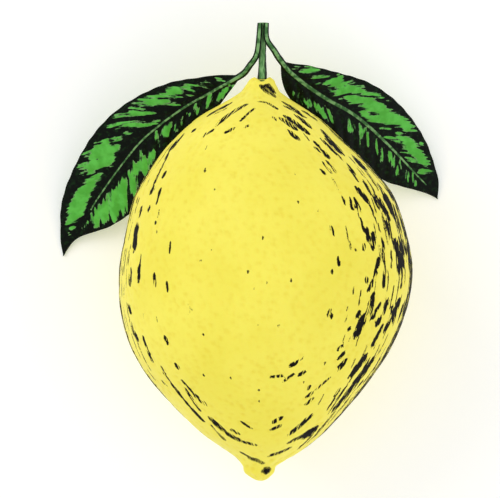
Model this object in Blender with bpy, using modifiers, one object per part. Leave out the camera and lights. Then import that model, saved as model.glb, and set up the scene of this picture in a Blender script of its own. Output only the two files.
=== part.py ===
"""A picked lemon on its stalk, with two leaves, lying on its side on a table.

Blender units are metres and +Z is up. The table is the plane Z = 0. The origin is the middle of the
small flat spot that the fruit rests on, right under its belly. +Y points along the fruit's core to the
stem end, and +X is to the right of someone who looks down on it with the stem end away from them.
"""

import math

import bmesh
import bpy
from mathutils import Vector, geometry

MM = 0.001

# ---- driving sizes -----------------------------------------------------------------------------------
FRUIT_DIAMETER = 62.5 * MM  # across the belly, before it is flattened
BELLY_TO_RIM = 42.5 * MM
BELLY_TO_TIP = 43.4 * MM
REST_FLAT_DEPTH = 0.55 * MM  # how much the belly is flattened where it rests

NECK_DIAMETER = 8.6 * MM  # where the neck meets the shoulder
NECK_HEIGHT = 3.2 * MM
RIM_DIAMETER = 4.2 * MM  # across the crest of the rim round the calyx
NIPPLE_DIAMETER = 6.6 * MM
NIPPLE_LENGTH = 3.4 * MM

DIMPLE_DEPTH = 1.3 * MM  # from the crest of the rim down to the calyx's bed
CALYX_DIAMETER = 2.8 * MM  # across the tips of its lobes
CALYX_THICKNESS = 0.5 * MM
CALYX_LOBES = 5
GAP = 0.25 * MM  # between pieces that touch on the real fruit

STALK_LENGTH = 12.0 * MM  # from the calyx to the cut end
STALK_DIAMETER = 1.7 * MM
STALK_FOOT_DIAMETER = 2.2 * MM
STALK_KNOT_DIAMETER = 2.1 * MM  # the swelling that the leaves grow from
STALK_LEAN = 0.25 * MM  # how far the cut end is to the right of the foot

LEFT_LEAF_LENGTH = 76.8 * MM  # with its petiole, along the midrib
LEFT_PETIOLE_LENGTH = 12.8 * MM
RIGHT_LEAF_LENGTH = 64.4 * MM
RIGHT_PETIOLE_LENGTH = 9.4 * MM
PETIOLE_DIAMETER = 1.45 * MM  # where it meets the blade
PETIOLE_TOP_DIAMETER = 1.1 * MM  # at the knot
PETIOLE_SEAT = 0.2 * MM  # from the cut end down to where a petiole begins
PETIOLE_PARTING = 0.3  # share of the stalk's length, down from its cut end, that the petioles follow it for
MIDRIB_DIAMETER = 0.9 * MM
BLADE_THICKNESS = 0.5 * MM
BLADE_BANK = math.radians(20)  # the outer half of a blade is the higher one at its base
LEAF_CLEARANCE = 0.6 * MM  # kept between a leaf and the rind

CORE_HEIGHT = FRUIT_DIAMETER / 2 - REST_FLAT_DEPTH
BELLY = FRUIT_DIAMETER / 2


# ---- shared shape helpers ----------------------------------------------------------------------------
def smooth_line(knots, steps, first_way=None, last_way=None):
    """Points on one smooth curve through the knots, with the directions at its two ends if they are given."""
    knots = [Vector(knot) for knot in knots]
    ways = [(after - before).normalized() for before, after in zip(knots, knots[2:])]
    ways.insert(0, Vector(first_way) if first_way else (knots[1] - knots[0]).normalized())
    ways.append(Vector(last_way) if last_way else (knots[-1] - knots[-2]).normalized())
    points = []
    for start, end, leaving, arriving in zip(knots, knots[1:], ways, ways[1:]):
        reach = (end - start).length / 3
        points += geometry.interpolate_bezier(
            start, start + leaving * reach, end - arriving * reach, end, steps + 1
        )[:-1]
    return points + [knots[-1]]


def smooth_value(table, position):
    """The value at a position on a smooth curve through (position, value) pairs that rise in position."""
    slopes = [(after[1] - before[1]) / (after[0] - before[0]) for before, after in zip(table, table[2:])]
    for first, second in (table[:2], table[-2:]):
        slopes.append((second[1] - first[1]) / (second[0] - first[0]))
    slopes.insert(0, slopes.pop(-2))
    for low, high, leaving, arriving in zip(table, table[1:], slopes, slopes[1:]):
        if position <= high[0]:
            break
    span = high[0] - low[0]
    t = min(1.0, max(0.0, (position - low[0]) / span))
    bend = (1 - t) ** 2 * t * span * leaving - (1 - t) * t**2 * span * arriving
    return low[1] + (high[1] - low[1]) * (3 - 2 * t) * t**2 + bend


def rod(around, along, place):
    """A closed rod. place(share, turn) gives the point at a share of its length and an angle round it."""
    form = bmesh.new()
    bmesh.ops.create_cone(form, cap_ends=True, segments=around, radius1=1, radius2=1, depth=1)
    lengthwise = [edge for edge in form.edges if abs(edge.verts[0].co.z - edge.verts[1].co.z) > 0.5]
    if along > 1:
        bmesh.ops.subdivide_edges(form, edges=lengthwise, cuts=along - 1, use_grid_fill=True)
    for vert in form.verts:
        vert.co = place(vert.co.z + 0.5, math.atan2(vert.co.y, vert.co.x))
    return form


def add_object(name, form, material):
    """Turns a bmesh into a shaded object of the lemon's collection."""
    form.normal_update()
    bmesh.ops.recalc_face_normals(form, faces=form.faces)
    mesh = bpy.data.meshes.new(name)
    form.to_mesh(mesh)
    form.free()
    mesh.shade_smooth()
    mesh.set_sharp_from_angle(angle=math.radians(40))
    mesh.materials.append(material)
    obj = bpy.data.objects.new(name, mesh)
    LEMON.objects.link(obj)
    return obj


def plant_material(name, colour, roughness):
    material = bpy.data.materials.new(name)
    material.use_nodes = True
    shader = material.node_tree.nodes["Principled BSDF"]
    shader.inputs["Base Color"].default_value = (*colour, 1.0)
    shader.inputs["Roughness"].default_value = roughness
    shader.inputs["Metallic"].default_value = 0.0
    return material


# ---- the fruit ---------------------------------------------------------------------------------------
FRUIT_AROUND = 52
PROFILE_STEPS = 4  # points on the profile for each stretch between two knots

# Each knot of the profile is (radius, place along the core), from the calyx's bed to the tip of the nipple.
PROFILE = smooth_line(
    [
        (0, BELLY_TO_RIM - DIMPLE_DEPTH, 0),
        (CALYX_DIAMETER / 2 + GAP, BELLY_TO_RIM - 0.94 * DIMPLE_DEPTH, 0),
        (RIM_DIAMETER / 2 + GAP, BELLY_TO_RIM, 0),
        ((RIM_DIAMETER + NECK_DIAMETER) / 4, BELLY_TO_RIM - 0.45 * NECK_HEIGHT, 0),
        (NECK_DIAMETER / 2, BELLY_TO_RIM - NECK_HEIGHT, 0),
        (0.46 * BELLY, 0.77 * BELLY_TO_RIM, 0),
        (0.832 * BELLY, 0.47 * BELLY_TO_RIM, 0),
        (0.938 * BELLY, 0.285 * BELLY_TO_RIM, 0),
        (BELLY, 0, 0),
        (0.941 * BELLY, -0.25 * BELLY_TO_TIP, 0),
        (0.795 * BELLY, -0.46 * BELLY_TO_TIP, 0),
        (0.435 * BELLY, -0.755 * BELLY_TO_TIP, 0),
        (0.56 * NIPPLE_DIAMETER, NIPPLE_LENGTH - BELLY_TO_TIP, 0),
        (0.46 * NIPPLE_DIAMETER, 0.5 * NIPPLE_LENGTH - BELLY_TO_TIP, 0),
        (0, -BELLY_TO_TIP, 0),
    ],
    PROFILE_STEPS,
    first_way=(1, 0, 0),
    last_way=(-1, 0, 0),
)
OUTSIDE = sorted((point.y, point.x) for point in PROFILE[2 * PROFILE_STEPS :])

# A lemon is never quite straight: how far its middle line leans to +X at each place along the core.
LEAN = [
    (-BELLY_TO_TIP, -0.3 * MM),
    (-0.93 * BELLY_TO_TIP, -0.5 * MM),
    (-0.87 * BELLY_TO_TIP, 0.5 * MM),
    (-0.71 * BELLY_TO_TIP, 0.05 * MM),
    (-0.46 * BELLY_TO_TIP, -0.4 * MM),
    (-0.2 * BELLY_TO_TIP, 0.2 * MM),
    (0, 0.8 * MM),
    (0.24 * BELLY_TO_RIM, 0.8 * MM),
    (0.45 * BELLY_TO_RIM, 0.35 * MM),
    (0.7 * BELLY_TO_RIM, -0.9 * MM),
    (0.92 * BELLY_TO_RIM, -0.4 * MM),
    (BELLY_TO_RIM, -0.05 * MM),
]


def fruit_radius(y):
    return smooth_value(OUTSIDE, y) if -BELLY_TO_TIP < y < BELLY_TO_RIM else 0.0


def fruit_middle(y):
    return smooth_value(LEAN, y)


def make_fruit(material):
    """The whole fruit is one piece: a turned shape whose middle line leans, cut flat where it rests."""
    outline = bpy.data.meshes.new("fruit_outline")
    outline.from_pydata(PROFILE, [(index, index + 1) for index in range(len(PROFILE) - 1)], [])
    turned = bpy.data.objects.new("fruit_outline", outline)
    LEMON.objects.link(turned)
    screw = turned.modifiers.new("turn", "SCREW")
    screw.axis = "Y"
    screw.steps = screw.render_steps = FRUIT_AROUND
    screw.use_merge_vertices = True
    screw.merge_threshold = 0.00001
    form = bmesh.new()
    form.from_object(turned, bpy.context.evaluated_depsgraph_get())
    bpy.data.objects.remove(turned)
    for vert in form.verts:
        vert.co.x += fruit_middle(vert.co.y)
        vert.co.z += CORE_HEIGHT
    everything = [*form.verts, *form.edges, *form.faces]
    bmesh.ops.bisect_plane(form, geom=everything, plane_co=(0, 0, 0), plane_no=(0, 0, -1), clear_outer=True)
    bmesh.ops.holes_fill(form, edges=[edge for edge in form.edges if edge.is_boundary], sides=0)
    return add_object("fruit", form, material)


# ---- the calyx and the stalk -------------------------------------------------------------------------
CALYX_BED = BELLY_TO_RIM - DIMPLE_DEPTH + GAP
STALK_FOOT = CALYX_BED + CALYX_THICKNESS + GAP
STALK_X = fruit_middle(BELLY_TO_RIM)


def stalk_middle(share):
    """Where the stalk's middle line is at a share of its length, up from the calyx."""
    return Vector((STALK_X + share * STALK_LEAN, STALK_FOOT + share * STALK_LENGTH, CORE_HEIGHT))


def make_calyx(material):
    """The calyx is a thin disc with five blunt lobes, narrower on top, that sits in the dimple."""

    def place(share, turn):
        lobed = 0.92 + 0.08 * math.cos(CALYX_LOBES * turn)
        reach = CALYX_DIAMETER / 2 * lobed * (1 - 0.15 * share)
        return Vector(
            (
                STALK_X + reach * math.cos(turn),
                CALYX_BED + share * CALYX_THICKNESS,
                CORE_HEIGHT + reach * math.sin(turn),
            )
        )

    return add_object("calyx", rod(8 * CALYX_LOBES, 1, place), material)


def make_stalk(material):
    """The fruit's own stalk, flared at its foot, with the knot at its cut end that both leaves grow from."""
    diameters = [  # share of the length, diameter
        (0.0, STALK_FOOT_DIAMETER),
        (0.12, 0.5 * (STALK_FOOT_DIAMETER + STALK_DIAMETER)),
        (0.3, STALK_DIAMETER),
        (0.62, STALK_DIAMETER),
        (0.8, 0.5 * (STALK_KNOT_DIAMETER + STALK_DIAMETER)),
        (0.9, STALK_KNOT_DIAMETER),
        (1.0, 0.95 * STALK_KNOT_DIAMETER),
    ]
    curve = bpy.data.curves.new("fruit_stalk", "CURVE")
    curve.dimensions = "3D"
    curve.bevel_depth = STALK_DIAMETER / 2
    curve.bevel_resolution = 4
    curve.use_fill_caps = True
    spline = curve.splines.new("POLY")
    spline.points.add(len(diameters) - 1)
    for point, (share, diameter) in zip(spline.points, diameters):
        point.co = (*stalk_middle(share), 1)
        point.radius = diameter / STALK_DIAMETER
    curve.materials.append(material)
    obj = bpy.data.objects.new("fruit_stalk", curve)
    LEMON.objects.link(obj)
    return obj


# ---- the leaves --------------------------------------------------------------------------------------
LEAF_AROUND = 28
LEAF_ALONG = 38
RAIL_SIGHT = 2.5 * MM  # how far each way a leaf's direction is taken over

# The two halves of a blade, away from the fruit and under it: (share of its length, half width in mm).
LEFT_BLADE = (
    [(0, 0), (0.1, 3.1), (0.25, 6.3), (0.43, 8.4), (0.6, 8.9), (0.85, 6.2), (0.95, 2.6), (1, 0)],
    [(0, 0), (0.17, 4.2), (0.4, 7.9), (0.63, 8.8), (0.8, 6.1), (0.91, 0.9), (1, 0)],
)
RIGHT_BLADE = (
    [(0, 0), (0.1, 3.4), (0.27, 6.4), (0.53, 8.1), (0.76, 6.8), (0.93, 3.1), (1, 0)],
    [(0, 0), (0.11, 3.8), (0.3, 6.8), (0.55, 8.1), (0.76, 6.3), (0.89, 2.8), (1, 0)],
)

# A midrib's route: (mm below the rim along the core, mm out from the rind, share of the core's height).
LEFT_ROUTE = [
    (-5.6, 0.95, 1.046),
    (-4.2, 1.4, 1.031),
    (-2.8, 2.45, 1.0),
    (-0.9, 4.05, 0.945),
    (2.2, 6.1, 0.827),
    (6.1, 7.8, 0.67),
    (12.1, 7.7, 0.508),
    (17.2, 8.0, 0.375),
    (25.7, 9.4, 0.195),
    (31.4, 11.3, 0.091),
    (37.6, 14.2, 0),
    (47.5, 18.0, 0),
]
RIGHT_ROUTE = [
    (-5.7, 2.6, 1.035),
    (-4.4, 3.45, 0.997),
    (-1.2, 6.25, 0.912),
    (3.5, 8.8, 0.73),
    (7.3, 10.0, 0.55),
    (12.5, 10.4, 0.345),
    (19.2, 10.4, 0.147),
    (25.4, 11.3, 0.011),
    (35.5, 13.0, 0),
]


def leaf_rail(side, route):
    """The line that a leaf's midrib follows, from the knot, out over the neck and down to the table.

    The two petioles start side by side, resting on top of the stalk.
    """
    knots = []
    for share, diameter in (
        (1 - PETIOLE_SEAT / STALK_LENGTH, PETIOLE_TOP_DIAMETER),
        (1 - PETIOLE_PARTING, PETIOLE_DIAMETER),
    ):
        off_stalk = (STALK_KNOT_DIAMETER + diameter) / 2 + GAP
        beside = (diameter + GAP) / 2
        above = math.sqrt(off_stalk**2 - beside**2)
        knots.append(stalk_middle(share) + Vector((side * beside, 0, above)))
    for below_rim, stand_off, height in route:
        y = BELLY_TO_RIM - below_rim * MM
        beside = fruit_radius(y) + stand_off * MM
        knots.append((fruit_middle(y) + side * beside, y, max(0.6 * BLADE_THICKNESS, height * CORE_HEIGHT)))
    return smooth_line(knots, 8)


def point_on(rail, distance):
    """The point this far along a rail, or its end."""
    for start, end in zip(rail, rail[1:]):
        step = (end - start).length
        if distance <= step:
            return start.lerp(end, distance / step)
        distance -= step
    return rail[-1]


def off_the_rind(point, spare):
    """Keeps a point of a leaf under the fruit's overhang where it would cut the rind, and above the table."""
    radius = fruit_radius(point.y)
    keep = radius + LEAF_CLEARANCE + spare
    beside = abs(point.x - fruit_middle(point.y))
    if radius > 0 and beside < keep:
        point.z = min(point.z, CORE_HEIGHT - math.sqrt(keep * keep - beside * beside))
    point.z = max(point.z, 0.0)
    return point


def make_leaf(name, side, length, petiole, halves, route, material):
    """One leaf grew as one piece: a rod that starts as the petiole and is flattened into the blade."""
    rail = leaf_rail(side, route)

    def place(share, turn):
        distance = share * length
        blade = max(0.0, (distance - petiole) / (length - petiole))
        flatness = min(1.0, 6 * blade)
        behind = point_on(rail, max(0.0, distance - RAIL_SIGHT))
        forward = (point_on(rail, distance + RAIL_SIGHT) - behind).normalized()
        level = Vector((-forward.y, forward.x, 0)).normalized() * side
        square = forward.cross(level) * side
        bank = BLADE_BANK * (1 - blade) ** 2 * flatness
        outward = level * math.cos(bank) + square * math.sin(bank)
        upward = square * math.cos(bank) - level * math.sin(bank)

        across, rise = math.cos(turn), math.sin(turn)
        midrib = MIDRIB_DIAMETER / 2 * (1 - 0.75 * blade)
        swelling = min(1.0, distance / petiole)
        stem = (1 - swelling) * PETIOLE_TOP_DIAMETER / 2 + swelling * PETIOLE_DIAMETER / 2
        radius = (1 - flatness) * stem + flatness * midrib
        reach = max(radius, smooth_value(halves[0] if across > 0 else halves[1], blade) * MM)
        offset = reach * math.copysign(abs(across) ** (1 + 0.8 * flatness), across)
        stem_body = radius * math.sqrt(max(0.0, 1 - (offset / radius) ** 2))
        if rise > 0:
            stem_body *= 1 - flatness
        blade_body = BLADE_THICKNESS / 2 * abs(rise) ** 0.5 * flatness
        body = math.copysign(max(stem_body, blade_body), rise)
        crown = flatness * (0.1 * abs(offset) - 16.0 * offset * offset)
        point = point_on(rail, distance) + outward * offset + upward * (crown + body)
        return off_the_rind(point, BLADE_THICKNESS)

    return add_object(name, rod(LEAF_AROUND, LEAF_ALONG, place), material)


# ---- build -------------------------------------------------------------------------------------------
for old in list(bpy.data.objects):
    bpy.data.objects.remove(old)
LEMON = bpy.data.collections.new("lemon")
bpy.context.scene.collection.children.link(LEMON)

rind = plant_material("rind", (0.94, 0.83, 0.11), 0.42)
calyx_green = plant_material("calyx_green", (0.13, 0.25, 0.08), 0.6)
stalk_green = plant_material("stalk_green", (0.16, 0.33, 0.1), 0.55)
leaf_green = plant_material("leaf_green", (0.07, 0.24, 0.05), 0.35)

make_fruit(rind)
make_calyx(calyx_green)
make_stalk(stalk_green)
make_leaf("leaf_left", -1, LEFT_LEAF_LENGTH, LEFT_PETIOLE_LENGTH, LEFT_BLADE, LEFT_ROUTE, leaf_green)
make_leaf("leaf_right", 1, RIGHT_LEAF_LENGTH, RIGHT_PETIOLE_LENGTH, RIGHT_BLADE, RIGHT_ROUTE, leaf_green)
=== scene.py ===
import functools
import math
import random

import bmesh
import bpy
import numpy
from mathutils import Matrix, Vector, geometry, noise


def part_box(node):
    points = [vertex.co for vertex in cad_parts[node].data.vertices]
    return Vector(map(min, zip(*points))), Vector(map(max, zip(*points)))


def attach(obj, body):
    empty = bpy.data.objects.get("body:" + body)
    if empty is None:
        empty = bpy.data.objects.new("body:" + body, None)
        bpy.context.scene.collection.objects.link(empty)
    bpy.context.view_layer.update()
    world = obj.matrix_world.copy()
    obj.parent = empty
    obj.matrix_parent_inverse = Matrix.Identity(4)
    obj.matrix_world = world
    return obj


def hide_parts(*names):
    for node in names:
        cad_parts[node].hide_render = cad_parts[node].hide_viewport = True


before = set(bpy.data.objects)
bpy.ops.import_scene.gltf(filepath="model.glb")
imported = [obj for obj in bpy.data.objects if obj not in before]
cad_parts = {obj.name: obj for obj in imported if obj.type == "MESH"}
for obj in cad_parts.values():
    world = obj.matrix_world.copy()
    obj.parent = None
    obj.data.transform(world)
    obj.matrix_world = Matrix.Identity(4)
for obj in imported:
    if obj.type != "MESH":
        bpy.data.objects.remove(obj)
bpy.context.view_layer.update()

MM = 0.001


# ---- The table and the light -------------------------------------------------------------------------
# The fruit lies on a white table top, which isn't part of it. A big soft window to the upper left lights
# it, a weaker one fills the right side, and the camera looks straight down with the stem end away from it.
TABLE_SIZE = 3.0
TABLE_WHITE = (0.97, 0.97, 0.97, 1)
TABLE_ROUGHNESS = 0.6
TABLE_GLOW = 0.13  # a little light of its own, as a white sweep that is lit from all round has
ROOM_BRIGHTNESS = 0.82
LENS_LENGTH = 200
SENSOR_WIDTH = 36
EYE = Vector((-2.6, 6.0, 622.5)) * MM
WINDOW_LIGHTS = [  # place, size and watts of each soft window
    ((-0.5, 0.42, 0.62), 0.5, 1.5),
    ((0.5, -0.4, 0.6), 0.7, 0.9),
]


def add_to_scene(name, contents):
    piece = bpy.data.objects.new(name, contents)
    bpy.context.scene.collection.objects.link(piece)
    return piece


table_form = bmesh.new()
bmesh.ops.create_grid(table_form, x_segments=4, y_segments=4, size=TABLE_SIZE / 2)
table_mesh = bpy.data.meshes.new("table_top")
table_form.to_mesh(table_mesh)
table_form.free()
table_paint = bpy.data.materials.new("white_table")
table_paint.use_nodes = True
table_surface = table_paint.node_tree.nodes["Principled BSDF"].inputs
table_surface["Base Color"].default_value = TABLE_WHITE
table_surface["Roughness"].default_value = TABLE_ROUGHNESS
table_surface["Emission Color"].default_value = (1, 1, 1, 1)
table_surface["Emission Strength"].default_value = TABLE_GLOW
table_mesh.materials.append(table_paint)
add_to_scene("table_top", table_mesh)

for place, size, watts in WINDOW_LIGHTS:
    window = bpy.data.lights.new("soft_window", "AREA")
    window.size = size
    window.energy = watts
    lamp = add_to_scene("soft_window", window)
    lamp.location = place
    lamp.rotation_euler = (Vector((0, 0, 0.03)) - lamp.location).to_track_quat("-Z", "Y").to_euler()

white_room = bpy.data.worlds.new("white_room")
white_room.use_nodes = True
white_room.node_tree.nodes["Background"].inputs["Color"].default_value = (1, 1, 1, 1)
white_room.node_tree.nodes["Background"].inputs["Strength"].default_value = ROOM_BRIGHTNESS
bpy.context.scene.world = white_room
bpy.context.scene.view_settings.view_transform = "Standard"

lens = bpy.data.cameras.new("camera")
lens.lens = LENS_LENGTH
lens.sensor_width = SENSOR_WIDTH
lens.clip_start = 0.01
camera = add_to_scene("camera", lens)
camera.location = EYE
bpy.context.scene.camera = camera


# ---- The fruit ---------------------------------------------------------------------------------------
# One whole lemon: a turned shape that leans a little off true, with a neck, a rim round the stalk's dimple
# and a nipple. Its waxy rind is pitted all over by oil glands. Dashes are dented a little into it along both
# sides and painted near-black as painted shade, most of them on the side away from the window and packed
# in a band along each flank's edge. It is flat where it rests.
def smooth_line(knots, spacing, first_way=None, last_way=None):
    """Points about this far apart on one smooth curve through the knots, and at least six for each knot."""
    knots = [Vector(knot) for knot in knots]
    ways = [(after - before).normalized() for before, after in zip(knots, knots[2:])]
    ways.insert(0, Vector(first_way) if first_way else (knots[1] - knots[0]).normalized())
    ways.append(Vector(last_way) if last_way else (knots[-1] - knots[-2]).normalized())
    points = []
    for start, end, leaving, arriving in zip(knots, knots[1:], ways, ways[1:]):
        reach = (end - start).length / 3
        steps = max(6, math.ceil(3 * reach / spacing))
        leaving, arriving = start + leaving * reach, end - arriving * reach
        points += geometry.interpolate_bezier(start, leaving, arriving, end, steps + 1)[:-1]
    return points + [knots[-1]]


def smooth_value(table, position):
    """The value at a position on a smooth curve through (position, value) pairs that rise in position."""
    slopes = [(after[1] - before[1]) / (after[0] - before[0]) for before, after in zip(table, table[2:])]
    for first, second in (table[:2], table[-2:]):
        slopes.append((second[1] - first[1]) / (second[0] - first[0]))
    slopes.insert(0, slopes.pop(-2))
    for low, high, leaving, arriving in zip(table, table[1:], slopes, slopes[1:]):
        if position <= high[0]:
            break
    span = high[0] - low[0]
    t = min(1.0, max(0.0, (position - low[0]) / span))
    bend = (1 - t) ** 2 * t * span * leaving - (1 - t) * t**2 * span * arriving
    return low[1] + (high[1] - low[1]) * (3 - 2 * t) * t**2 + bend


def ease(low, high, value):
    """0 below low, 1 above high, and smooth between them."""
    t = min(1.0, max(0.0, (value - low) / (high - low)))
    return (3 - 2 * t) * t * t


fruit_low, fruit_high = (Vector(corner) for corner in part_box("fruit"))
BELLY = 31.25 * MM
CORE_HEIGHT = fruit_high.z - BELLY
RIM = fruit_high.y
TIP = -fruit_low.y
NECK_DIAMETER = 8.6 * MM
NECK_HEIGHT = 3.2 * MM
RIM_DIAMETER = 4.2 * MM
NIPPLE_DIAMETER = 6.6 * MM
NIPPLE_LENGTH = 3.4 * MM
DIMPLE_DEPTH = 1.3 * MM
CALYX_DIAMETER = 2.8 * MM
GAP = 0.25 * MM

FRUIT_PROFILE = smooth_line(
    [  # radius and place along the core, from the calyx's bed to the tip of the nipple
        (0, RIM - DIMPLE_DEPTH, 0),
        (CALYX_DIAMETER / 2 + GAP, RIM - 0.94 * DIMPLE_DEPTH, 0),
        (RIM_DIAMETER / 2 + GAP, RIM, 0),
        ((RIM_DIAMETER + NECK_DIAMETER) / 4, RIM - 0.45 * NECK_HEIGHT, 0),
        (NECK_DIAMETER / 2, RIM - NECK_HEIGHT, 0),
        (0.46 * BELLY, 0.77 * RIM, 0),
        (0.832 * BELLY, 0.47 * RIM, 0),
        (0.938 * BELLY, 0.285 * RIM, 0),
        (BELLY, 0, 0),
        (0.941 * BELLY, -0.25 * TIP, 0),
        (0.795 * BELLY, -0.46 * TIP, 0),
        (0.435 * BELLY, -0.755 * TIP, 0),
        (0.56 * NIPPLE_DIAMETER, NIPPLE_LENGTH - TIP, 0),
        (0.46 * NIPPLE_DIAMETER, 0.5 * NIPPLE_LENGTH - TIP, 0),
        (0, -TIP, 0),
    ],
    0.54 * MM,
    first_way=(1, 0, 0),
    last_way=(-1, 0, 0),
)
LEAN = [  # place along the core, and how far the middle line leans to the right there
    (-TIP, -0.3 * MM),
    (-0.93 * TIP, -0.5 * MM),
    (-0.87 * TIP, 0.5 * MM),
    (-0.71 * TIP, 0.05 * MM),
    (-0.46 * TIP, -0.4 * MM),
    (-0.2 * TIP, 0.2 * MM),
    (0, 0.8 * MM),
    (0.24 * RIM, 0.8 * MM),
    (0.45 * RIM, 0.35 * MM),
    (0.7 * RIM, -0.9 * MM),
    (0.92 * RIM, -0.4 * MM),
    (RIM, -0.05 * MM),
]
crest = max(range(len(FRUIT_PROFILE)), key=lambda index: FRUIT_PROFILE[index].y)
OUTSIDE = sorted((point.y, point.x) for point in FRUIT_PROFILE[crest:])
outside_y, outside_radius = numpy.array(OUTSIDE).T
steps_along = numpy.diff(outside_y, prepend=-TIP)
steps_out = numpy.diff(outside_radius, prepend=0)
outside_run = numpy.cumsum(numpy.hypot(steps_along, steps_out))


def fruit_radius(y):
    return float(numpy.interp(y, outside_y, outside_radius)) if -TIP < y < RIM else 0.0


def fruit_middle(y):
    return smooth_value(LEAN, y)
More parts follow.
